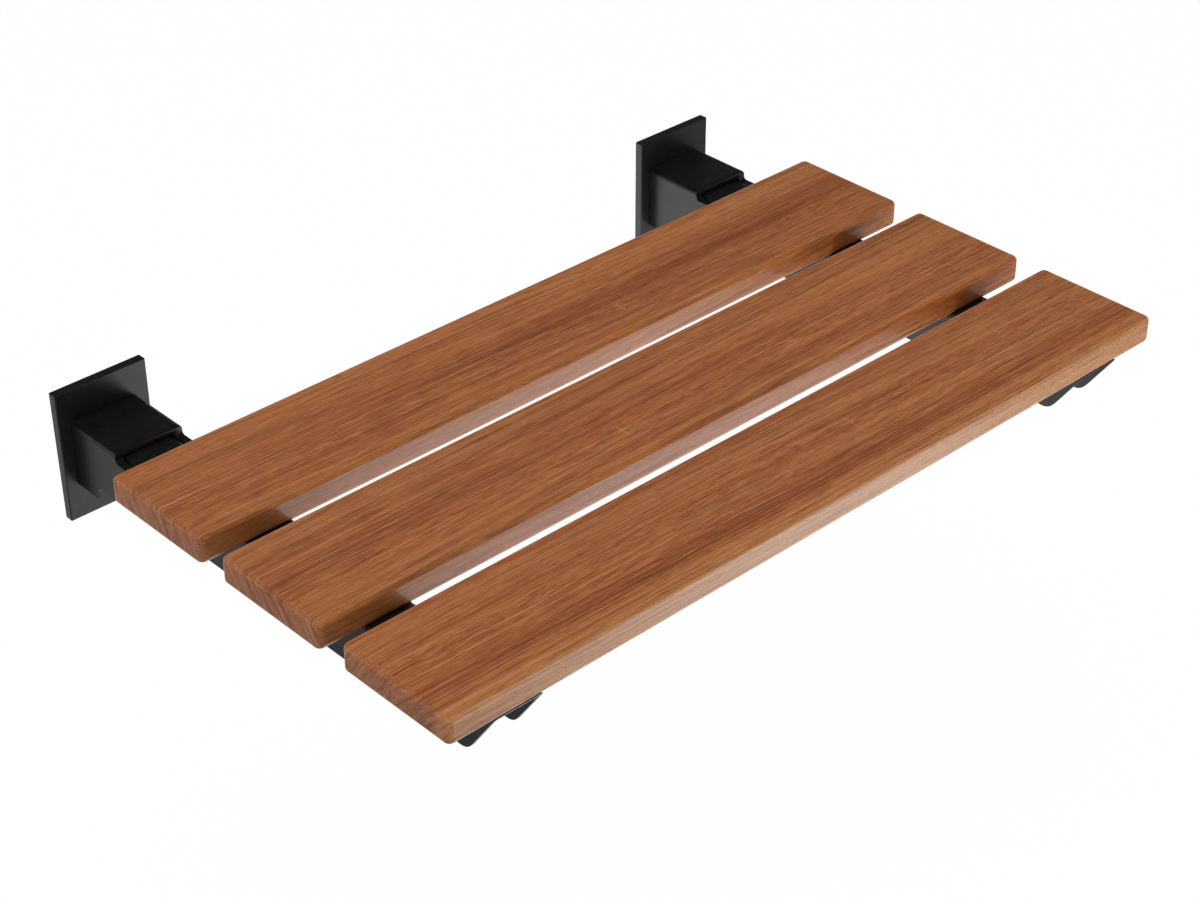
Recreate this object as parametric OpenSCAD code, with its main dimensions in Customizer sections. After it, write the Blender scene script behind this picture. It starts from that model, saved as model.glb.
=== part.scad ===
// Fold-down wall seat: three wooden slats on two channel arms that hinge in two wall brackets.
// The wall is the plane y = 0, and the seat reaches out from it towards -Y.
// x = 0 is the middle of the slats, and z = 0 is the middle height of the wall plates.

/* [Slats] */
// Length of a slat
slat_len = 711; // [500:1:1100]
// Depth of a slat from front to back
slat_depth = 105.9; // [85:0.1:130]
// Thickness of a slat
slat_th = 22.5; // [20:0.5:30]
// Gap between two slats
slat_gap = 24.2; // [8:0.1:32]
// Radius of a slat's edges
slat_edge_r = 4; // [1:0.5:4.5]
// Radius of a slat's four corners, seen from above
slat_corner_r = 5; // [5:0.5:20]
// From the wall to the back of the rear slat
slat_wall_gap = 106.7; // [105:0.1:125]
// Height of the slats' undersides over the middle of the wall plates
seat_z = 22.4; // [21:0.1:26]

/* [Arms] */
// From a slat's ends to the middle of the arm there
arm_inset = 59.5; // [45:0.5:130]
// Width of an arm
arm_w = 42.4; // [36:0.1:50]
// Height of an arm
arm_h = 40.5; // [36:0.1:46]
// Thickness of the sheet that an arm is folded from
arm_wall = 3; // [2:0.1:4]
// Inner radius of an arm's two folds
arm_fold_r = 0.6; // [0.2:0.1:3]
// From the front of the front slat back to the arm's front edge
arm_set_back = 1.2; // [0.5:0.1:10]
// Slope of the flanges' front ends, in degrees from level
toe_slope = 55.5; // [45:0.5:75]
// Radius of the flanges' lower front corners
toe_r = 12.5; // [6:0.5:18]

/* [Wall plates and covers] */
// Width of a flange cover
cover_w = 79.1; // [77:0.1:100]
// Height of a flange cover
cover_h = 110.8; // [104:0.1:140]
// Depth of a flange cover
cover_d = 7.3; // [6.8:0.1:12]
// Wall thickness of a flange cover
cover_wall = 1.5; // [1:0.1:1.8]
// Radius of a flange cover's edges and corners
cover_edge_r = 0.8; // [0.3:0.1:1.4]
// Gap between a cover and what stands inside it
cover_gap = 0.25; // [0.1:0.05:0.5]
// Thickness of a wall plate
plate_th = 5; // [4:0.5:5]
// Radius of a wall plate's corners
plate_corner_r = 3; // [1:0.5:6]
// Radius of the holes for the wall screws
wall_hole_r = 3.3; // [2.5:0.1:4]
// Radius of the countersinks for the wall screws' heads
wall_sink_r = 6; // [5:0.1:6.5]
// From a plate's edges to the middles of its wall screw holes
wall_hole_inset = 12; // [10:0.5:14]

/* [Hinge housings] */
// Thickness of the housing's two ears
ear_th = 6.8; // [6:0.1:9]
// Thickness of the bridge over the arm's tail
bridge_th = 5.2; // [4:0.1:7]
// Gap between the bridge and the arm
bridge_gap = 1.4; // [1:0.1:2]
// From the wall to the back of the slot
slot_back = 35.4; // [30:0.1:38]
// From the slats' undersides down to the top of the ears
ear_drop = 2.2; // [1.5:0.1:4]
// From the arm's lower edge up to the bottom of the ears
ear_rise = 3.3; // [1:0.1:5]
// Radius of the housing's long outer edges
housing_edge_r = 4.5; // [2:0.1:6]
// Radius of the bridge's front edge and of the fillet under it
bridge_edge_r = 3; // [1:0.1:3.3]
// Radius of the fillet above the notch under the ears
notch_r = 5; // [2:0.5:8]
// Radius of the ears' lower front corners
chin_r = 10; // [4:0.5:13]
// Radius of the slot's upper corners
slot_r = 1.5; // [0.5:0.1:3]

/* [Pivots and stops] */
// From the wall to the pivot axis
pivot_out = 81; // [80:0.1:82]
// Height of the pivot axis over the middle of the wall plates
pivot_z = 6; // [5.5:0.1:7]
// Gap between the folded arm and the bridge
fold_gap = 0.1; // [0.1:0.05:0.5]
// Gap between the arm's tail and the back of the slot
tail_gap = 6.4; // [4:0.1:10]
// Radius of a pivot pin
pin_r = 5; // [4:0.1:6]
// Radius of a pivot pin's head
pin_head_r = 7.5; // [7:0.1:9]
// Thickness of a pivot pin's head
pin_head_th = 2.5; // [2:0.1:3]
// Radius of the screw that closes a pivot pin
pin_screw_r = 3; // [2.5:0.1:3.4]
// Depth of that screw in the pin
pin_screw_bite = 12; // [8:0.5:20]
// Wall thickness of a pivot bush
bush_wall = 1.5; // [1:0.1:2]
// Length of a pivot bush inside the arm
bush_len = 12; // [8:0.5:14]
// Thickness of a pivot bush's flange
bush_flange_th = 1; // [0.8:0.1:1.5]
// Reach of a pivot bush's flange past its sleeve
bush_flange_reach = 3.5; // [2:0.1:4]
// Gap between a bush's flange and the ear
bush_play = 0.3; // [0.2:0.05:0.5]
// Wall thickness of the tube between an arm's flanges
tube_wall = 3.5; // [2:0.1:4]
// Width of a stop pad
pad_w = 30; // [20:1:34]
// Length of a stop pad from front to back
pad_len = 12; // [8:0.5:14]
// Depth of the pocket that holds a stop pad
pad_pocket = 1.6; // [1:0.1:2.5]
// From the bridge's front face to the stop pad
pad_inset = 3.5; // [3:0.1:6]

/* [Fasteners] */
// Radius of a housing bolt
bolt_r = 3; // [2.5:0.1:3.5]
// Radius of a housing bolt's countersunk head
bolt_head_r = 5.6; // [5:0.1:6]
// Depth of a housing bolt in the housing
bolt_bite = 14; // [10:0.5:18]
// Distance between two housing bolts
bolt_pitch = 32; // [28:0.5:36]
// Radius of the grub screw that holds a cover
grub_r = 1.5; // [1.2:0.1:1.8]
// Length of that grub screw
grub_len = 6; // [4:0.5:8]
// Radius of a slat screw
screw_r = 2.4; // [2:0.1:3]
// Radius of a slat screw's head
screw_head_r = 4.6; // [4.2:0.1:6]
// Height of a slat screw's head
screw_head_h = 3; // [2:0.1:4]
// Depth of a slat screw in the slat
screw_bite = 14; // [10:0.5:16]
// Distance between the two screws of a slat and an arm
screw_pitch = 60; // [40:1:70]
// Radius of a slat screw's washer
washer_r = 6.5; // [6:0.1:8]
// Thickness of a slat screw's washer
washer_th = 1.2; // [0.8:0.1:2]

/* [Hidden] */
$fn = 96;

// Which side of the seat a bracket or an arm is on, seen from in front of the seat
left = -1;
right = 1;

// The slats in their order from the wall outwards
SLATS = ["rear", "middle", "front"];

// How far a cut runs past the surface that it opens
overrun = 1;
// Radial gap of a pin that turns in its bush
run_fit = 0.05;
// Gap of a piece that is pushed or screwed into its seat
seat_fit = 0.02;
// Radial gap of a fastener in the hole that it passes through
pass_fit = 0.3;
// How far a countersunk or counterbored head lies under the surface
head_sink = 0.2;
// Depth of a blind hole past the tip of its screw
tip_room = 1;
// Radius of the key sockets as a share of the head's or the screw's radius
socket_share = 0.45;
// Depth of the key sockets as a share of the head's height
socket_depth_share = 0.6;
// Length of the grub screw's key socket as a share of its length
grub_socket_share = 0.4;
// Radius of the round edge of a slat screw's head as a share of its height
dome_share = 0.6;

wood = "#9e623c";
black = "#26272a";
steel = "#b9bbbe";
nylon = "#e8e6df";
rubber = "#17181a";

// Heights and distances from the wall that the pieces share
arm_spacing = slat_len - 2 * arm_inset;
arm_bottom = seat_z - arm_h;
arm_inner_w = arm_w - 2 * arm_wall;
arm_front = -slat_y(len(SLATS) - 1) + slat_depth / 2 - arm_set_back;
slot_w = arm_w + 2 * (bush_flange_th + bush_play);
housing_w = slot_w + 2 * ear_th;
slot_top = seat_z + bridge_gap;
housing_top = slot_top + bridge_th;
housing_h = 2 * housing_top;
bridge_front = pivot_out - (seat_z - pivot_z) - fold_gap;
ear_top = seat_z - ear_drop;
ear_bottom = arm_bottom + ear_rise;
nose_r = ear_top - pivot_z;
tail_r = pivot_out - slot_back - tail_gap;
plate_w = cover_w - 2 * (cover_wall + cover_gap);
plate_h = cover_h - 2 * (cover_wall + cover_gap);
wall_hole_x = plate_w / 2 - wall_hole_inset;
wall_hole_z = plate_h / 2 - wall_hole_inset;
bush_r = pin_r + run_fit + bush_wall;
tube_r = bush_r + seat_fit + tube_wall;
head_seat_x = housing_w / 2 - pin_head_th - head_sink;

// Where the middle of a slat lies along Y
function slat_y(index) = -(slat_wall_gap + slat_depth / 2 + index * (slat_depth + slat_gap));

// Extrudes a front view, drawn as x and z, from one distance out from the wall to another
module outwards(from, to) {
    translate([0, -from, 0]) rotate([90, 0, 0]) linear_extrude(to - from) children();
}

// Extrudes a side view, drawn as distance from the wall and height, to a width about x = 0
module across(width) {
    rotate([90, 0, -90]) linear_extrude(width, center = true) children();
}

// Moves a piece to the bracket of one side, and mirrors the right one
module at_bracket(side) {
    translate([side * arm_spacing / 2, 0, 0]) mirror([side + 1, 0, 0]) children();
}

// Repeats a piece at the screws that hold the slats to one arm, at the slats' undersides
module at_slat_screws() {
    for (index = [0 : len(SLATS) - 1], end = [-1, 1])
        translate([0, slat_y(index) + end * screw_pitch / 2, seat_z]) children();
}

// Repeats a drawing or a piece at the four corners of a rectangle
module at_corners(half_w, half_h) {
    for (sx = [-1, 1], sz = [-1, 1]) translate([sx * half_w, sz * half_h]) children();
}

// A rectangle with four rounded corners about the origin
module rounded_rect(w, h, r) {
    square([w - 2 * r, h], center = true);
    square([w, h - 2 * r], center = true);
    at_corners(w / 2 - r, h / 2 - r) circle(r);
}

// A rectangle about x = 0 from one height to another, with rounded upper corners
module arch(w, bottom, top, r) {
    translate([-w / 2, bottom]) square([w, top - bottom - r]);
    translate([r - w / 2, bottom]) square([w - 2 * r, top - bottom]);
    for (sx = [-1, 1]) translate([sx * (w / 2 - r), top - r]) circle(r);
}

// The material that fills an inner corner at the origin to a radius, on its upper right side
module inner_fillet(r) {
    difference() {
        square(r);
        translate([r, r]) circle(r);
    }
}

// A board about the origin with rounded corners seen from above, and a smaller radius along all its edges
module board(size, corner_r, edge_r) {
    rotate([90, 0, 90]) linear_extrude(size.x - 2 * corner_r, center = true)
        rounded_rect(size.y, size.z, edge_r);
    rotate([90, 0, 0]) linear_extrude(size.y - 2 * corner_r, center = true)
        rounded_rect(size.x, size.z, edge_r);
    at_corners(size.x / 2 - corner_r, size.y / 2 - corner_r) rotate_extrude() intersection() {
        rounded_rect(2 * corner_r, size.z, edge_r);
        translate([0, -size.z / 2]) square([corner_r, size.z]);
    }
}

// One slat, with blind holes for its screws in the underside
module slat(name) {
    color(wood) difference() {
        translate([0, slat_y(search([name], SLATS)[0]), seat_z + slat_th / 2])
            board([slat_len, slat_depth, slat_th], slat_corner_r, slat_edge_r);
        for (side = [left, right]) translate([side * arm_spacing / 2, 0, 0]) at_slat_screws()
            translate([0, 0, -overrun])
                cylinder(r = screw_r + seat_fit, h = screw_bite + tip_room + overrun);
    }
}

// Side view of an arm's beam, with the sloping toe at its front end
module arm_side() {
    toe_reach = toe_r * tan(toe_slope / 2);
    toe_x = arm_front - arm_h / tan(toe_slope);
    polygon([[pivot_out - tail_r, arm_bottom],
             [toe_x - toe_reach, arm_bottom],
             [toe_x + toe_reach * cos(toe_slope), arm_bottom + toe_reach * sin(toe_slope)],
             [arm_front, seat_z],
             [pivot_out - tail_r, seat_z]]);
    translate([toe_x - toe_reach, arm_bottom + toe_r]) circle(toe_r);
}

// Side view of what is cut off an arm's rear end to make its tail round about the pivot
module tail_cut() {
    difference() {
        translate([pivot_out - tail_r - overrun, arm_bottom - overrun])
            square([tail_r + overrun, arm_h + 2 * overrun]);
        translate([pivot_out, pivot_z]) circle(tail_r);
    }
}

// Cross-section of an arm: a channel that opens downwards
module arm_section() {
    difference() {
        arch(arm_w, arm_bottom, seat_z, arm_fold_r + arm_wall);
        arch(arm_inner_w, arm_bottom - overrun, seat_z - arm_wall, arm_fold_r);
    }
}

// An arm: a folded channel under the slats, with its tail in the hinge housing
module arm(side) {
    color(black) at_bracket(side) difference() {
        intersection() {
            across(arm_w) arm_side();
            outwards(pivot_out - tail_r - overrun, arm_front + overrun) arm_section();
        }
        across(arm_w + 2 * overrun) tail_cut();
        across(arm_w + 2 * overrun) translate([pivot_out, pivot_z]) circle(bush_r + seat_fit);
        at_slat_screws() translate([0, 0, -arm_wall - overrun])
            cylinder(r = screw_r + pass_fit, h = arm_wall + 2 * overrun);
    }
}

// A wall plate, with countersunk holes for four wall screws and, from the back, four housing bolts
module wall_plate(side) {
    wall_sink = wall_sink_r - wall_hole_r;
    bolt_sink_r = bolt_head_r + head_sink + seat_fit;
    color(black) at_bracket(side) difference() {
        outwards(0, plate_th) rounded_rect(plate_w, plate_h, plate_corner_r);
        outwards(-overrun, plate_th + overrun) at_corners(wall_hole_x, wall_hole_z) circle(wall_hole_r);
        outwards(-overrun, plate_th + overrun) at_corners(bolt_pitch / 2, bolt_pitch / 2)
            circle(bolt_r + seat_fit);
        translate([0, -plate_th, 0]) rotate([90, 0, 0]) at_corners(wall_hole_x, wall_hole_z)
            translate([0, 0, -wall_sink])
                cylinder(r1 = wall_hole_r, r2 = wall_sink_r + overrun, h = wall_sink + overrun);
        rotate([90, 0, 0]) at_corners(bolt_pitch / 2, bolt_pitch / 2)
            translate([0, 0, -overrun])
                cylinder(r1 = bolt_sink_r + overrun, r2 = bolt_r + seat_fit,
                         h = bolt_sink_r - bolt_r - seat_fit + overrun);
        translate([0, -plate_th / 2, -plate_h / 2 - overrun])
            cylinder(r = grub_r + seat_fit, h = grub_len + overrun);
    }
}

// A flange cover: a shallow tray over the wall plate, with a window that the housing passes through
module flange_cover(side) {
    color(black) at_bracket(side) difference() {
        intersection() {
            outwards(0, cover_d) rounded_rect(cover_w, cover_h, cover_edge_r);
            across(cover_w) rotate(-90) arch(cover_h, 0, cover_d, cover_edge_r);
            linear_extrude(cover_h, center = true) rotate(180) arch(cover_w, 0, cover_d, cover_edge_r);
        }
        outwards(-overrun, cover_d - cover_wall)
            square([cover_w - 2 * cover_wall, cover_h - 2 * cover_wall], center = true);
        outwards(0, cover_d + overrun)
            rounded_rect(housing_w + 2 * cover_gap, housing_h + 2 * cover_gap, housing_edge_r + cover_gap);
        translate([0, -plate_th / 2, -cover_h / 2 - overrun])
            cylinder(r = grub_r + seat_fit, h = cover_wall + 2 * overrun);
    }
}

// The grub screw that holds a cover, in the lower edges of the cover and the plate
module cover_screw(side) {
    color(steel) at_bracket(side) translate([0, -plate_th / 2, head_sink - cover_h / 2]) difference() {
        cylinder(r = grub_r, h = grub_len);
        translate([0, 0, -overrun])
            cylinder(r = grub_r * socket_share, h = grub_len * grub_socket_share + overrun, $fn = 6);
    }
}

// Side view of a hinge housing: block, bridge with a round front edge, and ears with a round nose
module housing_side() {
    block_len = slot_back - plate_th;
    translate([plate_th, -housing_top]) square([block_len, housing_h]);
    translate([plate_th, ear_bottom])
        square([bridge_front - plate_th, housing_top - bridge_edge_r - ear_bottom]);
    translate([plate_th, ear_bottom])
        square([bridge_front - bridge_edge_r - plate_th, housing_top - ear_bottom]);
    translate([bridge_front - bridge_edge_r, housing_top - bridge_edge_r]) circle(bridge_edge_r);
    translate([bridge_front, ear_top]) inner_fillet(bridge_edge_r);
    translate([slot_back, ear_bottom]) mirror([0, 1]) inner_fillet(notch_r);
    translate([slot_back, ear_bottom]) square([pivot_out - slot_back, ear_top - ear_bottom]);
    translate([pivot_out, pivot_z]) circle(nose_r);
    translate([pivot_out, ear_bottom]) square([nose_r - chin_r, pivot_z - ear_bottom]);
    translate([pivot_out, ear_bottom + chin_r]) square([nose_r, pivot_z - ear_bottom - chin_r]);
    translate([pivot_out + nose_r - chin_r, ear_bottom + chin_r]) circle(chin_r);
}

// A hinge housing: the cast block that holds the arm's tail between two ears
module hinge_housing(side) {
    reach = pivot_out + nose_r;
    color(black) at_bracket(side) difference() {
        intersection() {
            across(housing_w) housing_side();
            outwards(plate_th, reach + overrun) rounded_rect(housing_w, housing_h, housing_edge_r);
        }
        outwards(slot_back, reach + overrun) arch(slot_w, -housing_top - overrun, slot_top, slot_r);
        across(housing_w + 2 * overrun) translate([pivot_out, pivot_z]) circle(pin_r + seat_fit);
        for (end = [-1, 1]) translate([end * (head_seat_x + pin_head_th), 0, 0])
            across(2 * pin_head_th) translate([pivot_out, pivot_z]) circle(pin_head_r + pass_fit);
        outwards(plate_th - overrun, plate_th + bolt_bite + tip_room)
            at_corners(bolt_pitch / 2, bolt_pitch / 2) circle(bolt_r + seat_fit);
        translate([0, -bridge_front + pad_inset + pad_len / 2, slot_top - overrun])
            linear_extrude(pad_pocket + overrun)
                square([pad_w + 2 * seat_fit, pad_len + 2 * seat_fit], center = true);
    }
}

// The countersunk bolts that hold a housing, from the back of its wall plate
module housing_bolts(side) {
    color(steel) at_bracket(side) rotate([90, 0, 0]) at_corners(bolt_pitch / 2, bolt_pitch / 2)
        translate([0, 0, head_sink]) difference() {
            union() {
                cylinder(r1 = bolt_head_r, r2 = bolt_r, h = bolt_head_r - bolt_r);
                cylinder(r = bolt_r, h = plate_th - head_sink + bolt_bite);
            }
            translate([0, 0, -overrun])
                cylinder(r = bolt_head_r * socket_share, $fn = 6,
                         h = (bolt_head_r - bolt_r) * socket_depth_share + overrun);
        }
}

// A pivot pin, with its head in the outer ear and a tapped hole in its other end
module pivot_pin(side) {
    color(steel) at_bracket(side) translate([0, -pivot_out, pivot_z]) rotate([0, 90, 0]) difference() {
        union() {
            translate([0, 0, -head_seat_x]) cylinder(r = pin_r, h = 2 * head_seat_x - seat_fit);
            translate([0, 0, -head_seat_x - pin_head_th]) cylinder(r = pin_head_r, h = pin_head_th);
        }
        translate([0, 0, -head_seat_x - pin_head_th - overrun])
            cylinder(r = pin_head_r * socket_share, $fn = 6,
                     h = pin_head_th * socket_depth_share + overrun);
        translate([0, 0, head_seat_x - pin_screw_bite - tip_room])
            cylinder(r = pin_screw_r + seat_fit, h = pin_screw_bite + tip_room + overrun);
    }
}

// The screw that closes a pivot pin, with its head in the inner ear
module pivot_screw(side) {
    color(steel) at_bracket(side) translate([0, -pivot_out, pivot_z]) rotate([0, 90, 0])
        translate([0, 0, head_seat_x]) difference() {
            union() {
                cylinder(r = pin_head_r, h = pin_head_th);
                translate([0, 0, -pin_screw_bite]) cylinder(r = pin_screw_r, h = pin_screw_bite);
            }
            translate([0, 0, pin_head_th * (1 - socket_depth_share)])
                cylinder(r = pin_head_r * socket_share, $fn = 6,
                         h = pin_head_th * socket_depth_share + overrun);
        }
}

// The two flanged bushes of an arm, which turn on the pivot pin
module pivot_bushes(side) {
    color(nylon) at_bracket(side) translate([0, -pivot_out, pivot_z])
        for (end = [0, 1]) mirror([end, 0, 0]) rotate([0, 90, 0]) difference() {
            union() {
                translate([0, 0, arm_w / 2 - bush_len]) cylinder(r = bush_r, h = bush_len);
                translate([0, 0, arm_w / 2])
                    cylinder(r = bush_r + bush_flange_reach, h = bush_flange_th);
            }
            translate([0, 0, arm_w / 2 - bush_len - overrun])
                cylinder(r = pin_r + run_fit, h = bush_len + bush_flange_th + 2 * overrun);
        }
}

// The tube welded between an arm's flanges, which carries the bushes
module pivot_tube(side) {
    color(black) at_bracket(side) across(arm_inner_w) translate([pivot_out, pivot_z]) difference() {
        circle(tube_r);
        circle(bush_r + seat_fit);
    }
}

// The pad in the bridge that the arm's tail comes up against when the seat is down
module stop_pad(side) {
    color(rubber) at_bracket(side)
        translate([0, -bridge_front + pad_inset + pad_len / 2, seat_z])
            linear_extrude(bridge_gap + pad_pocket) square([pad_w, pad_len], center = true);
}

// The screws that hold the slats to one arm, from inside the channel
module slat_screws(side) {
    head_z = -arm_wall - washer_th;
    dome_r = screw_head_h * dome_share;
    color(steel) at_bracket(side) at_slat_screws() difference() {
        union() {
            translate([0, 0, head_z]) cylinder(r = screw_r, h = screw_bite - head_z);
            translate([0, 0, head_z]) mirror([0, 0, 1]) rotate_extrude() intersection() {
                arch(2 * screw_head_r, 0, screw_head_h, dome_r);
                square([screw_head_r, screw_head_h]);
            }
        }
        translate([0, 0, head_z - screw_head_h - overrun])
            cylinder(r = screw_head_r * socket_share, $fn = 6,
                     h = screw_head_h * socket_depth_share + overrun);
    }
}

// The washers under those screws' heads
module slat_washers(side) {
    color(steel) at_bracket(side) at_slat_screws() translate([0, 0, -arm_wall - washer_th])
        linear_extrude(washer_th) difference() {
            circle(washer_r);
            circle(screw_r + pass_fit);
        }
}

slat("rear");  // rear_slat
slat("middle");  // middle_slat
slat("front");  // front_slat
arm(left);  // left_arm
arm(right);  // right_arm
wall_plate(left);  // left_wall_plate
wall_plate(right);  // right_wall_plate
flange_cover(left);  // left_flange_cover
flange_cover(right);  // right_flange_cover
cover_screw(left);  // left_cover_screw
cover_screw(right);  // right_cover_screw
hinge_housing(left);  // left_hinge_housing
hinge_housing(right);  // right_hinge_housing
housing_bolts(left);  // left_housing_bolts
housing_bolts(right);  // right_housing_bolts
pivot_pin(left);  // left_pivot_pin
pivot_pin(right);  // right_pivot_pin
pivot_screw(left);  // left_pivot_screw
pivot_screw(right);  // right_pivot_screw
pivot_bushes(left);  // left_pivot_bushes
pivot_bushes(right);  // right_pivot_bushes
pivot_tube(left);  // left_pivot_tube
pivot_tube(right);  // right_pivot_tube
stop_pad(left);  // left_stop_pad
stop_pad(right);  // right_stop_pad
slat_screws(left);  // left_slat_screws
slat_screws(right);  // right_slat_screws
slat_washers(left);  // left_slat_washers
slat_washers(right);  // right_slat_washers
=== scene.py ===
import math
from collections import namedtuple

import bpy
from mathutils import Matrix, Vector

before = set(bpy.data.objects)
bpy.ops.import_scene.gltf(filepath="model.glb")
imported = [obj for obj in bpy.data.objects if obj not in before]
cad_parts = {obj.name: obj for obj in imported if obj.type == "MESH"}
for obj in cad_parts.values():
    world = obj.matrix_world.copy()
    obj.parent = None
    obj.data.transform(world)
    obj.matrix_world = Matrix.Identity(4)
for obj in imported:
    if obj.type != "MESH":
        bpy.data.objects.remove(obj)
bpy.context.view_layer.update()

WHITE = (1.0, 1.0, 1.0)

# Camera of the photograph, in the row frame: metres, degrees and millimetres
CAMERA_PLACE = (-1.0963, -1.4031, 1.0297)
CAMERA_TURN = (56.453, 0.061, -43.074)
CAMERA_LENS = 75.23
CAMERA_SENSOR = 36.0

# The floor: its height and side in metres, how much of it glows where it should look white, and its
# greys to matt and to glossy surfaces
FLOOR_Z = -0.45
FLOOR_SIDE = 40.0
FLOOR_GLOW = 0.985
FLOOR_TO_MATT = (0.85, 0.85, 0.85)
FLOOR_TO_GLOSS = (0.12, 0.12, 0.12)

# The strip of the floor that glossy surfaces see brightly: the direction across it, where its middle is,
# and how it fades away from there and along X. A fade is a range for span: from one distance in metres
# to another, and how bright the strip is at them
STRIP_ACROSS = (0.905, 0.425, 0.0)
STRIP_MIDDLE = 0.08
STRIP_FADE = (0.08, 0.60, 1.0, 0.08)
RIGHT_FADE = (0.58, 0.90, 1.0, 0.35)

# Greys of the room from the horizon, at 0, to straight up, at 1, as glossy and as matt surfaces get them
ROOM_TO_GLOSS = ((0.0, 0.9), (0.10, 0.45), (0.24, 0.04), (0.44, 0.006), (0.56, 0.040), (1.0, 0.020))
ROOM_TO_MATT = ((0.0, 0.75), (1.0, 0.15))

# Where the lamps are and what two of them look at. The third is just above the floor and faces up
KEY_PLACE = (-1.25, -0.99, 4.8)
KEY_AIM = (0.0, -0.24, 0.0)
FRONT_PLACE = (0.8, -3.6, 0.25)
FRONT_AIM = (0.0, -0.3, 0.0)
BOUNCE_PLACE = (0.42, -0.5, -0.44)
BOUNCE_TURN = (math.pi, 0.0, math.radians(25))

# A layer of noise: its features per metre along each axis, its detail and its roughness
Layer = namedtuple("Layer", "scale detail rough")

# The wood's layers. The first ones follow the growth rings: along the log, out from its heart and round
# it. The next two follow the log, and the last one the grain as it wanders
RING_LAYERS = {
    "bands": Layer((0.6, 52, 9), 2, 0.5),
    "streaks": Layer((1.5, 270, 40), 2, 0.55),
    "lines": Layer((2.4, 980, 140), 3, 0.75),
    "veins": Layer((5.0, 640, 70), 1, 0.4),
    "hue": Layer((0.8, 75, 10), 3, 0.7),
    "patches": Layer((2.2, 45, 12), 1, 0.5),
}
LOG_LAYERS = {
    "fibres": Layer((32, 1600, 1600), 2, 0.6),
    "pores": Layer((90, 2100, 2100), 1, 0.5),
}
FLAME_LAYER = Layer((75, 620, 620), 2, 0.6)

# How the grain wanders, in metres: slowly everywhere, and quickly by more in the curly strip
SLOW_LAYER = Layer((2.0, 13, 13), 2, 0.5)
SLOW_REACH = (0.0, 0.016, 0.016)
QUICK_LAYER = Layer((20, 110, 110), 3, 0.6)
QUICK_REACH = 0.0016
CURLY_REACH = 0.0050
CURL_WIDTH = 0.012

# A radian round the log counts as so many metres
RADIAN_TO_METRES = 0.15

# How much each layer lightens and darkens the wood. The ends show more of the streaks, and the front
# edge less of everything
TONE_WEIGHTS = {"bands": 0.16, "streaks": 0.18, "lines": 0.76, "fibres": 0.72}
FIGURE_WEIGHT = 0.38
END_STREAKS = 0.6
EDGE_CALM = 0.35
MIDDLE_TONE = 0.52

# Ranges for span: a low and a high value, and what they become, which is 0 and 1 where it isn't given
PATCH_SPAN = (0.46, 0.62, 0.15, 0.6)
EDGE_SPAN = (0.30, 0.85)
END_SPAN = (0.55, 0.97)
HUE_SPAN = (0.36, 0.64)
VEIN_SPAN = (0.61, 0.69, 0.0, 0.45)
PORE_SPAN = (0.58, 0.68, 0.0, 0.50)
ROUGH_SPAN = (0.3, 0.7, 0.42, 0.30)

# The wood's colours from dark to light, two tints that come and go, and its single colours
TONE_COLOURS = (
    (0.30, (0.190, 0.047, 0.014)),
    (0.42, (0.291, 0.081, 0.023)),
    (0.50, (0.371, 0.122, 0.037)),
    (0.58, (0.452, 0.166, 0.055)),
    (0.72, (0.542, 0.226, 0.080)),
)
RED_TINT = (1.010, 0.965, 0.945)
PALE_TINT = (0.993, 1.015, 1.030)
VEIN_COLOUR = (0.165, 0.044, 0.016)
PORE_COLOUR = (0.125, 0.036, 0.013)
MARK_COLOUR = (0.62, 0.28, 0.10)
END_COLOUR = (0.30, 0.100, 0.040)

# Pale marks: their share of their own colour, how pale and how narrow a knot's core is, and the length
# and width of a cross's two strokes
MARK_SHARE = 0.55
KNOT_PALE = 0.6
KNOT_NARROWING = 9.0
CROSS_STROKES = ((0.0010, 0.0060), (0.0090, 0.0010))

# The ends drink more oil: a share of their own colour, rougher, and with less of the clear coat
END_SHARE = 0.2
END_ROUGHER = 0.2
END_COAT_LOSS = 0.6

# The clear coat, the wood under it, and how far fibres stand up and pores go down in its relief
COAT_ROUGHNESS = 0.07
COAT_IOR = 1.95
WOOD_IOR = 1.5
FIBRE_HEIGHT = 0.7
PORE_HEIGHT = -0.6

# Powder coat: the scale of its waves and specks against its grain, and how they shade the base colour
WAVES_TO_GRAIN = 1 / 9
SPECKS_TO_GRAIN = 1.7
WAVE_DARK = 0.75
WAVE_LIGHT = 1.3
SPECK_LIGHT = 3.0
WAVE_HEIGHT = 0.6
POWDER_IOR = 1.88

# Steel: the marks of the tool, finest along Z, and stains
MARKS_LAYER = Layer((900, 900, 5200), 2, 0.6)
STAINS_LAYER = Layer((220, 220, 220), 3, 0.55)

# Moulded polymers: the scale of their clouds against their skin
CLOUDS_TO_SKIN = 1 / 12

# A broad band lightens a board by its lift. It is strongest at x and y, with its reach along X and its
# width along Y. A knot bends the grain round it. All places are in the row frame, in metres
Band = namedtuple("Band", "y width x reach lift")
Knot = namedtuple("Knot", "x y length width bend")

# A board's shift is its place in the log, whose heart is at a distance in Y and Z and tilts along X. The
# edge light tint is painted light on the front edge: painted shade on the rear and middle boards, whose
# front edges face into the gaps, and a painted paler sheen on the front board. The gloss is its clear
# coat. The crown is the place along Y of a strip of curly figure, and the crosses are the places of small
# pale marks in the grain
Board = namedtuple("Board", "shift heart tilt rim gloss crown bands knots crosses")

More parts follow.
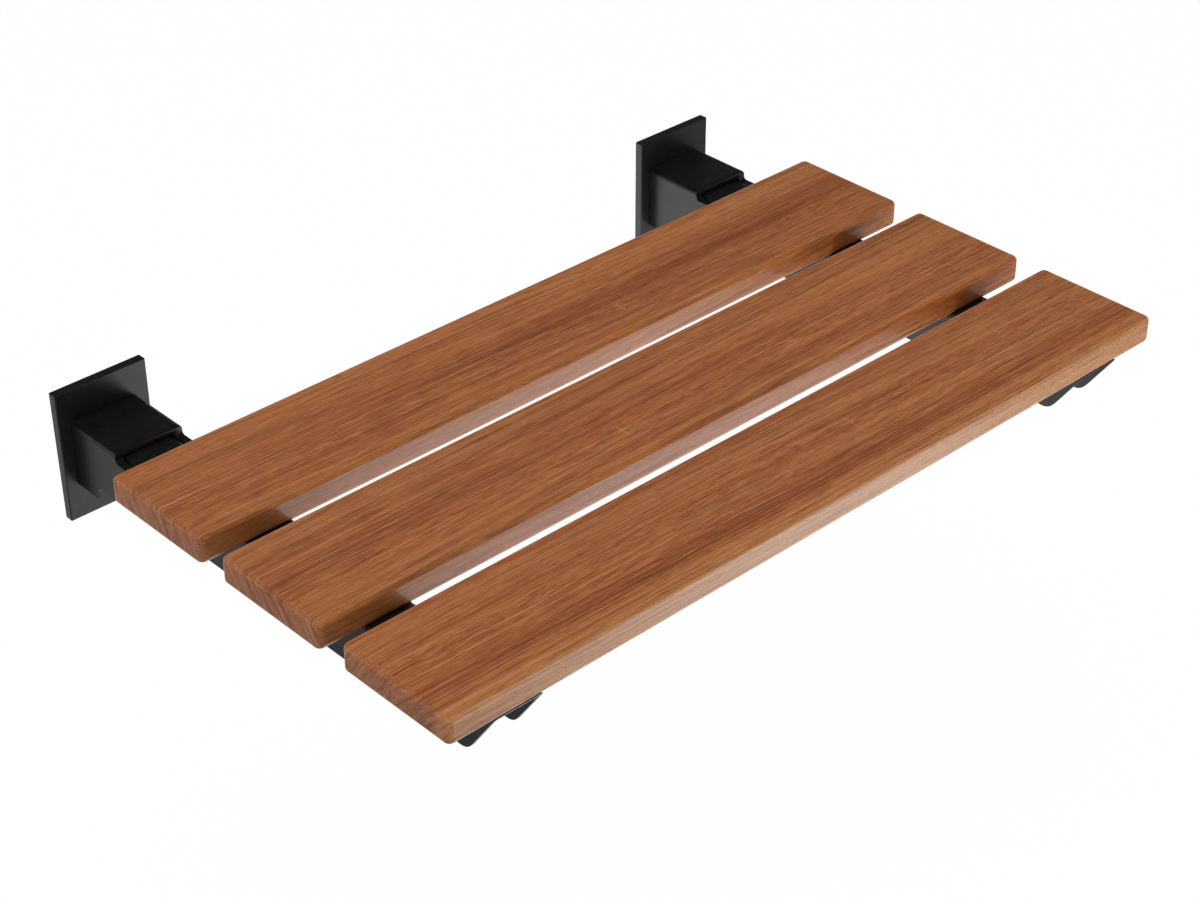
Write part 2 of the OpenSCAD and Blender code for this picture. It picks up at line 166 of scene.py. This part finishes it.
BOARDS = {
    "rear": Board(
        shift=(0.31, 0.02, 0.0),
        heart=(0.090, -0.085),
        tilt=(0.012, -0.006),
        rim=(0.79, 0.79, 0.60),
        gloss=0.64,
        crown=-0.180,
        bands=(
            Band(y=-0.122, width=0.023, x=0.150, reach=0.700, lift=0.100),
            Band(y=-0.160, width=0.010, x=0.250, reach=0.340, lift=-0.130),
            Band(y=-0.138, width=0.004, x=-0.300, reach=0.120, lift=-0.090),
            Band(y=-0.188, width=0.003, x=-0.200, reach=0.300, lift=-0.050),
        ),
        knots=(
            Knot(x=-0.324, y=-0.136, length=0.012, width=0.0045, bend=0.0030),
        ),
        crosses=((0.066, -0.183),),
    ),
    "middle": Board(
        shift=(1.74, 0.31, 0.4),
        heart=(0.215, 0.290),
        tilt=(-0.010, 0.008),
        rim=(0.85, 0.82, 0.60),
        gloss=0.66,
        crown=-0.308,
        bands=(
            Band(y=-0.250, width=0.010, x=-0.150, reach=0.400, lift=0.040),
            Band(y=-0.262, width=0.003, x=0.200, reach=0.300, lift=-0.060),
            Band(y=-0.285, width=0.030, x=0.300, reach=0.250, lift=0.075),
            Band(y=-0.292, width=0.004, x=0.000, reach=0.600, lift=-0.060),
            Band(y=-0.322, width=0.003, x=0.100, reach=0.350, lift=-0.040),
            Band(y=-0.337, width=0.004, x=0.000, reach=0.700, lift=0.090),
        ),
        knots=(
            Knot(x=0.125, y=-0.308, length=0.016, width=0.0050, bend=0.0040),
            Knot(x=-0.040, y=-0.312, length=0.020, width=0.0060, bend=0.0040),
        ),
        crosses=((-0.054, -0.310),),
    ),
    "front": Board(
        shift=(3.05, 0.77, 0.9),
        heart=(0.165, 0.790),
        tilt=(0.012, 0.008),
        rim=(0.86, 1.02, 0.98),
        gloss=0.93,
        crown=-0.415,
        bands=(
            Band(y=-0.388, width=0.012, x=0.050, reach=0.350, lift=0.015),
            Band(y=-0.406, width=0.006, x=0.150, reach=0.200, lift=-0.040),
            Band(y=-0.425, width=0.020, x=0.300, reach=0.200, lift=0.030),
            Band(y=-0.448, width=0.008, x=-0.120, reach=0.420, lift=-0.090),
            Band(y=-0.464, width=0.006, x=0.000, reach=0.900, lift=0.120),
        ),
        knots=(
            Knot(x=-0.118, y=-0.419, length=0.020, width=0.0055, bend=0.0040),
        ),
        crosses=((0.074, -0.414),),
    ),
}


def feed(socket, value):
    """Sets a socket to a number or a colour, or links another socket to it."""
    if isinstance(value, bpy.types.NodeSocket):
        socket.id_data.links.new(value, socket)
    elif isinstance(value, tuple) and len(value) < len(socket.default_value):
        socket.default_value = (*value, 1)
    else:
        socket.default_value = value


def add(tree, kind, *values, **settings):
    """A new node with its settings, and with values or links for its inputs in their order."""
    made = tree.nodes.new("ShaderNode" + kind)
    for key, value in settings.items():
        setattr(made, key, value)
    for socket, value in zip(made.inputs, values):
        feed(socket, value)
    return made


def calc(tree, operation, *values):
    """The result of one mathematical operation on numbers."""
    return add(tree, "Math", *values, operation=operation).outputs[0]


def vector(tree, operation, *values):
    """The result of one mathematical operation on vectors or colours, as a vector."""
    return add(tree, "VectorMath", *values, operation=operation).outputs["Vector"]


def measure(tree, operation, *values):
    """The result of one mathematical operation on vectors, as a number."""
    return add(tree, "VectorMath", *values, operation=operation).outputs["Value"]


def part(tree, value, axis):
    """A vector's length along one axis."""
    return add(tree, "SeparateXYZ", value).outputs[axis]


def total(tree, first, *rest):
    """The sum of several sockets or numbers."""
    for value in rest:
        first = calc(tree, "ADD", first, value)
    return first


def product(tree, first, *rest):
    """The product of several sockets or numbers."""
    for value in rest:
        first = calc(tree, "MULTIPLY", first, value)
    return first


def less(tree, value, *losses):
    """What is left of a value after each loss: a socket and its weight."""
    for socket, weight in losses:
        value = calc(tree, "SUBTRACT", value, calc(tree, "MULTIPLY", socket, weight))
    return value


def centred(tree, value, weight):
    """How far a noise is above or below its middle, weighted."""
    return calc(tree, "MULTIPLY", calc(tree, "SUBTRACT", value, 0.5), weight)


def span(tree, value, low, high, to_low=0.0, to_high=1.0):
    """A value's range mapped onto another one, smoothly and clamped."""
    made = add(tree, "MapRange", value, low, high, to_low, to_high, interpolation_type="SMOOTHSTEP")
    return made.outputs["Result"]


def hump(tree, value, middle, width):
    """One where a value is at the middle, and falling to nothing on both sides of it."""
    off = calc(tree, "DIVIDE", calc(tree, "SUBTRACT", value, middle), width)
    return calc(tree, "EXPONENT", product(tree, off, off, -1.0))


def spot(tree, own, x, y, length, width):
    """One at a place on a board and falling to nothing round it, and the way there in its own sizes."""
    away = vector(tree, "MULTIPLY", vector(tree, "SUBTRACT", own, (x, y, 0)), (1 / length, 1 / width, 0))
    near = calc(tree, "EXPONENT", product(tree, measure(tree, "DOT_PRODUCT", away, away), -1.0))
    return near, away


def noise_node(tree, place, layer):
    """A noise texture at a place."""
    made = add(tree, "TexNoise", vector(tree, "MULTIPLY", place, layer.scale))
    made.inputs["Scale"].default_value = 1.0
    made.inputs["Detail"].default_value = layer.detail
    made.inputs["Roughness"].default_value = layer.rough
    return made


def noise(tree, place, layer):
    """Noise about one half, as a number."""
    return noise_node(tree, place, layer).outputs["Fac"]


def even_noise(tree, place, scale, detail, rough=0.5):
    """Noise about one half, with features of the same size in every direction."""
    return noise(tree, place, Layer((scale, scale, scale), detail, rough))


def sway(tree, place, layer):
    """Noise about zero, as a vector."""
    return vector(tree, "SUBTRACT", noise_node(tree, place, layer).outputs["Color"], (0.5, 0.5, 0.5))


def ramp(tree, value, stops):
    """A colour that goes with a value through the stops, each a place and a colour."""
    made = add(tree, "ValToRGB", value)
    elements = made.color_ramp.elements
    while len(elements) < len(stops):
        elements.new(0.5)
    for element, (at, colour) in zip(elements, stops):
        element.position = at
        element.color = (*colour, 1)
    return made.outputs["Color"]


def grey_ramp(tree, value, stops):
    """A grey that goes with a value through the stops, each a place and a brightness."""
    return ramp(tree, value, [(at, (grey,) * 3) for at, grey in stops])


def mix(tree, factor, low, high):
    """Two colours mixed by a factor. The node has sockets for numbers and vectors in between."""
    made = add(tree, "Mix", data_type="RGBA")
    for index, value in ((0, factor), (6, low), (7, high)):
        feed(made.inputs[index], value)
    return made.outputs[2]


def mix_shaders(tree, factor, low, high):
    """Two shaders mixed by a factor."""
    return add(tree, "MixShader", factor, low, high).outputs[0]


def bump(tree, height, strength, distance):
    """The surface's normal, tilted by the slopes of a height."""
    made = add(tree, "Bump")
    made.inputs["Strength"].default_value = strength
    made.inputs["Distance"].default_value = distance
    feed(made.inputs["Height"], height)
    return made.outputs["Normal"]


def matt(tree, colour):
    """A matt shader of one colour."""
    return add(tree, "BsdfDiffuse", colour).outputs["BSDF"]


def empty_tree(owner):
    """The node tree of a new material or world, without its first nodes."""
    owner.use_nodes = True
    owner.node_tree.nodes.clear()
    return owner.node_tree


def new_material(name):
    """A material, its node tree, its Principled shader and the object's own coordinates in metres."""
    made = bpy.data.materials.new(name)
    tree = empty_tree(made)
    shader = add(tree, "BsdfPrincipled")
    add(tree, "OutputMaterial", shader.outputs["BSDF"])
    return made, tree, shader, add(tree, "TexCoord").outputs["Object"]


def wandering(tree, log, curl):
    """A place in the log, moved aside as the grain wanders there."""
    reach = total(tree, QUICK_REACH, product(tree, curl, CURLY_REACH))
    reach = add(tree, "CombineXYZ", 0.0, reach, reach).outputs[0]
    slow = vector(tree, "MULTIPLY", sway(tree, log, SLOW_LAYER), SLOW_REACH)
    quick = vector(tree, "MULTIPLY", sway(tree, log, QUICK_LAYER), reach)
    return vector(tree, "ADD", vector(tree, "ADD", log, slow), quick)


def ring_place(tree, own, bent, board):
    """Coordinates that follow the growth rings and bend round the knots: along, out and round."""
    along = part(tree, bent, "X")
    across = total(tree, part(tree, bent, "Y"), -board.heart[0], product(tree, along, board.tilt[0]))
    up = total(tree, part(tree, bent, "Z"), -board.heart[1], product(tree, along, board.tilt[1]))
    for knot in board.knots:
        near, away = spot(tree, own, knot.x, knot.y, knot.length, knot.width)
        across = total(tree, across, product(tree, part(tree, away, "Y"), near, knot.bend))
    out = measure(tree, "LENGTH", add(tree, "CombineXYZ", 0.0, across, up).outputs[0])
    turn = product(tree, calc(tree, "ARCTAN2", across, up), RADIAN_TO_METRES)
    return add(tree, "CombineXYZ", along, out, turn).outputs[0]


def pale_marks(tree, own, board):
    """How pale a point is made by the cores of the knots and by the crosses."""
    pale = 0.0
    for knot in board.knots:
        near, _ = spot(tree, own, knot.x, knot.y, knot.length, knot.width)
        core = calc(tree, "POWER", near, KNOT_NARROWING)
        pale = total(tree, pale, product(tree, core, KNOT_PALE))
    for x, y in board.crosses:
        for length, width in CROSS_STROKES:
            near, _ = spot(tree, own, x, y, length, width)
            pale = calc(tree, "MAXIMUM", near, pale)
    return pale


def sides(tree):
    """How much a point is on a board's front edge, and how much on one of its ends."""
    normal = add(tree, "TexCoord").outputs["Normal"]
    edge = span(tree, product(tree, part(tree, normal, "Y"), -1.0), *EDGE_SPAN)
    end = span(tree, calc(tree, "ABSOLUTE", part(tree, normal, "X")), *END_SPAN)
    return edge, end


def wood_tone(tree, board, bent, curl, layers, edge, end):
    """How light the wood is, about zero: its layers, its short wavy figure and its broad bands."""
    patch = calc(tree, "MAXIMUM", span(tree, layers["patches"], *PATCH_SPAN), curl)
    figure = centred(tree, noise(tree, bent, FLAME_LAYER), patch)
    tone = product(tree, figure, FIGURE_WEIGHT)
    for name, weight in TONE_WEIGHTS.items():
        tone = total(tree, tone, centred(tree, layers[name], weight))
    for band in board.bands:
        along = hump(tree, part(tree, bent, "X"), band.x + board.shift[0], band.reach)
        across = hump(tree, part(tree, bent, "Y"), band.y + board.shift[1], band.width)
        tone = total(tree, tone, product(tree, along, across, band.lift))
    tone = total(tree, tone, product(tree, centred(tree, layers["streaks"], END_STREAKS), end))
    return product(tree, tone, less(tree, 1.0, (edge, EDGE_CALM)))


def wood_colour(tree, board, tone, layers, pale, edge, end):
    """The wood's colour by its tone, with veins, pores and pale marks, a painted shade and sheen tint on
    the front edge, and another tint on the ends.
    """
    colour = ramp(tree, total(tree, tone, MIDDLE_TONE), TONE_COLOURS)
    tint = mix(tree, span(tree, layers["hue"], *HUE_SPAN), RED_TINT, PALE_TINT)
    colour = vector(tree, "MULTIPLY", colour, tint)
    colour = mix(tree, span(tree, layers["veins"], *VEIN_SPAN), colour, VEIN_COLOUR)
    colour = mix(tree, span(tree, layers["pores"], *PORE_SPAN), colour, PORE_COLOUR)
    colour = mix(tree, product(tree, pale, MARK_SHARE), colour, MARK_COLOUR)
    # Painted light on the front edge: painted shade on the rear and middle boards, and a painted paler
    # sheen on the front one
    colour = mix(tree, edge, colour, vector(tree, "MULTIPLY", colour, board.rim))
    return mix(tree, product(tree, end, END_SHARE), colour, END_COLOUR)


def teak(name, board):
    """Lacquered teak from a log that runs along X."""
    made, tree, shader, own = new_material(name)
    log = vector(tree, "ADD", own, board.shift)
    curl = hump(tree, part(tree, own, "Y"), board.crown, CURL_WIDTH)
    bent = wandering(tree, log, curl)
    rings = ring_place(tree, own, bent, board)
    layers = {kind: noise(tree, rings, layer) for kind, layer in RING_LAYERS.items()}
    layers.update({kind: noise(tree, log, layer) for kind, layer in LOG_LAYERS.items()})

    edge, end = sides(tree)
    pale = pale_marks(tree, own, board)
    tone = wood_tone(tree, board, bent, curl, layers, edge, end)
    feed(shader.inputs["Base Color"], wood_colour(tree, board, tone, layers, pale, edge, end))
    rough = total(tree, span(tree, layers["streaks"], *ROUGH_SPAN), product(tree, end, END_ROUGHER))
    feed(shader.inputs["Roughness"], rough)
    feed(shader.inputs["Coat Weight"], less(tree, 1.0, (end, END_COAT_LOSS), (edge, 1.0 - board.gloss)))
    shader.inputs["Coat Roughness"].default_value = COAT_ROUGHNESS
    shader.inputs["Coat IOR"].default_value = COAT_IOR
    shader.inputs["IOR"].default_value = WOOD_IOR
    height = total(tree, product(tree, layers["fibres"], FIBRE_HEIGHT),
                   product(tree, layers["pores"], PORE_HEIGHT))
    feed(shader.inputs["Normal"], bump(tree, height, strength=0.20, distance=0.0002))
    return made


def about(tree, value, middle, spread):
    """A noise, which seldom leaves 0.3 to 0.7, mapped onto a range about a middle."""
    return span(tree, value, low=0.3, high=0.7, to_low=middle - spread, to_high=middle + spread)


def shaded(colour, factor):
    """A colour made darker or lighter by a factor."""
    return tuple(factor * value for value in colour)


def powder_coat(name, base, rough, grain):
    """Matt black powder coat: a fine even grain, slow waves and a few paler specks."""
    made, tree, shader, own = new_material(name)
    fine = even_noise(tree, own, grain, detail=2, rough=0.6)
    waves = even_noise(tree, own, grain * WAVES_TO_GRAIN, detail=2)
    specks = even_noise(tree, own, grain * SPECKS_TO_GRAIN, detail=0)
    wave = span(tree, waves, low=0.35, high=0.65)
    speck = span(tree, specks, low=0.68, high=0.78, to_high=0.5)
    colour = mix(tree, wave, shaded(base, WAVE_DARK), shaded(base, WAVE_LIGHT))
    feed(shader.inputs["Base Color"], mix(tree, speck, colour, shaded(base, SPECK_LIGHT)))
    feed(shader.inputs["Roughness"], about(tree, fine, rough, spread=0.05))
    shader.inputs["IOR"].default_value = POWDER_IOR
    height = total(tree, fine, product(tree, waves, WAVE_HEIGHT))
    feed(shader.inputs["Normal"], bump(tree, height, strength=0.18, distance=0.0001))
    return made


def turned_steel(name, dark, light):
    """Stainless steel with fine tool marks and faint stains."""
    made, tree, shader, own = new_material(name)
    marks = noise(tree, own, MARKS_LAYER)
    stain = span(tree, noise(tree, own, STAINS_LAYER), low=0.3, high=0.75)
    feed(shader.inputs["Base Color"], mix(tree, stain, dark, light))
    feed(shader.inputs["Roughness"], span(tree, marks, low=0.25, high=0.75, to_low=0.22, to_high=0.38))
    shader.inputs["Metallic"].default_value = 1.0
    feed(shader.inputs["Normal"], bump(tree, marks, strength=0.15, distance=0.00005))
    return made


def moulded(name, dark, light, rough, grain, relief):
    """A moulded polymer with a fine mottled skin."""
    made, tree, shader, own = new_material(name)
    skin = even_noise(tree, own, grain, detail=3, rough=0.6)
    clouds = even_noise(tree, own, grain * CLOUDS_TO_SKIN, detail=2)
    feed(shader.inputs["Base Color"], mix(tree, span(tree, clouds, low=0.3, high=0.7), dark, light))
    feed(shader.inputs["Roughness"], about(tree, skin, rough, spread=0.07))
    feed(shader.inputs["Normal"], bump(tree, skin, strength=relief, distance=0.0001))
    return made


def dress(material, *names):
    """Puts one material in every slot of the named CAD nodes."""
    for name in names:
        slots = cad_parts[name].data.materials
        for index in range(len(slots)):
            slots[index] = material
        if not slots:
            slots.append(material)


def both(*names):
    """The left and the right node of each name."""
    return [side + "_" + name for name in names for side in ("left", "right")]


def dress_parts():
    """Gives every CAD node its material."""
    for place, board in BOARDS.items():
        dress(teak("teak_" + place, board), place + "_slat")
    dress(powder_coat("cast_black", base=(0.0048, 0.0049, 0.0053), rough=0.35, grain=1500),
          *both("hinge_housing"))
    dress(powder_coat("sheet_black", base=(0.0050, 0.0051, 0.0055), rough=0.34, grain=1700),
          *both("arm", "flange_cover", "wall_plate", "pivot_tube"))
    dress(turned_steel("stainless_steel", dark=(0.46, 0.46, 0.47), light=(0.62, 0.61, 0.60)),
          *both("cover_screw", "housing_bolts", "pivot_pin", "pivot_screw", "slat_screws", "slat_washers"))
    dress(moulded("white_nylon", dark=(0.70, 0.68, 0.62), light=(0.80, 0.78, 0.72),
                  rough=0.42, grain=900, relief=0.1), *both("pivot_bushes"))
    dress(moulded("black_rubber", dark=(0.010, 0.010, 0.011), light=(0.020, 0.020, 0.021),
                  rough=0.75, grain=1300, relief=0.3), *both("stop_pad"))


def backdrop(tree, colour):
    """A world's light of one colour, at a strength of 1."""
    return add(tree, "Background", colour, 1.0).outputs[0]


def looked_at(tree, path):
    """One for rays from the camera, also through glass, and nothing for the others."""
    return calc(tree, "MAXIMUM", path.outputs["Is Camera Ray"], path.outputs["Is Transmission Ray"])


def white_paper():
    """Paper that looks white and keeps a trace of the seat's shadow, brightest to gloss along one strip."""
    made = bpy.data.materials.new("white_paper")
    tree = empty_tree(made)
    path = add(tree, "LightPath")
    place = add(tree, "TexCoord").outputs["Object"]
    across = measure(tree, "DOT_PRODUCT", place, STRIP_ACROSS)
    off = calc(tree, "ABSOLUTE", calc(tree, "SUBTRACT", across, STRIP_MIDDLE))
    strip = product(tree, span(tree, off, *STRIP_FADE), span(tree, part(tree, place, "X"), *RIGHT_FADE))
    glossy = path.outputs["Is Glossy Ray"]
    bright = calc(tree, "MAXIMUM", looked_at(tree, path), product(tree, glossy, strip))
    paper = mix_shaders(tree, glossy, matt(tree, FLOOR_TO_MATT), matt(tree, FLOOR_TO_GLOSS))
    glow = add(tree, "Emission", WHITE, 1.0).outputs["Emission"]
    add(tree, "OutputMaterial", mix_shaders(tree, product(tree, bright, FLOOR_GLOW), paper, glow))
    return made


def studio():
    """The room: white to the camera, and to other surfaces bright low down and darker overhead."""
    made = bpy.data.worlds.new("studio")
    tree = empty_tree(made)
    path = add(tree, "LightPath")
    height = part(tree, add(tree, "TexCoord").outputs["Generated"], "Z")
    to_matt = backdrop(tree, grey_ramp(tree, height, ROOM_TO_MATT))
    to_gloss = backdrop(tree, grey_ramp(tree, height, ROOM_TO_GLOSS))
    room = mix_shaders(tree, path.outputs["Is Glossy Ray"], to_matt, to_gloss)
    add(tree, "OutputWorld", mix_shaders(tree, looked_at(tree, path), room, backdrop(tree, WHITE)))
    return made


def towards(place, aim):
    """The turn of a lamp that looks from one place to another."""
    return (Vector(aim) - Vector(place)).to_track_quat("-Z", "Y").to_euler()


def softbox(name, place, turn, size, power):
    """A rectangular area lamp, which glossy surfaces don't show."""
    data = bpy.data.lights.new(name, "AREA")
    data.shape = "RECTANGLE"
    data.size, data.size_y = size
    data.energy = power
    made = bpy.data.objects.new(name, data)
    made.location = place
    made.rotation_euler = turn
    made.visible_glossy = False
    bpy.context.scene.collection.objects.link(made)
    return made


def light_scene():
    """The floor, the room and the three lamps."""
    bpy.ops.mesh.primitive_plane_add(size=FLOOR_SIDE, location=(0, 0, FLOOR_Z))
    floor = bpy.context.object
    floor.name = "floor"
    floor.data.materials.append(white_paper())
    bpy.context.scene.world = studio()
    softbox("key", KEY_PLACE, towards(KEY_PLACE, KEY_AIM), size=(3.0, 3.0), power=175)
    softbox("front", FRONT_PLACE, towards(FRONT_PLACE, FRONT_AIM), size=(2.2, 1.0), power=30)
    bounce = softbox("bounce", BOUNCE_PLACE, BOUNCE_TURN, size=(1.0, 2.0), power=21)
    bounce.visible_camera = False


def place_camera():
    """The camera of the photograph."""
    lens = bpy.data.cameras.new("photo_camera")
    lens.lens = CAMERA_LENS
    lens.sensor_width = CAMERA_SENSOR
    camera = bpy.data.objects.new("photo_camera", lens)
    camera.location = CAMERA_PLACE
    camera.rotation_euler = [math.radians(turn) for turn in CAMERA_TURN]
    bpy.context.scene.collection.objects.link(camera)
    bpy.context.scene.camera = camera


dress_parts()
light_scene()
place_camera()
bpy.context.scene.view_settings.view_transform = "Standard"
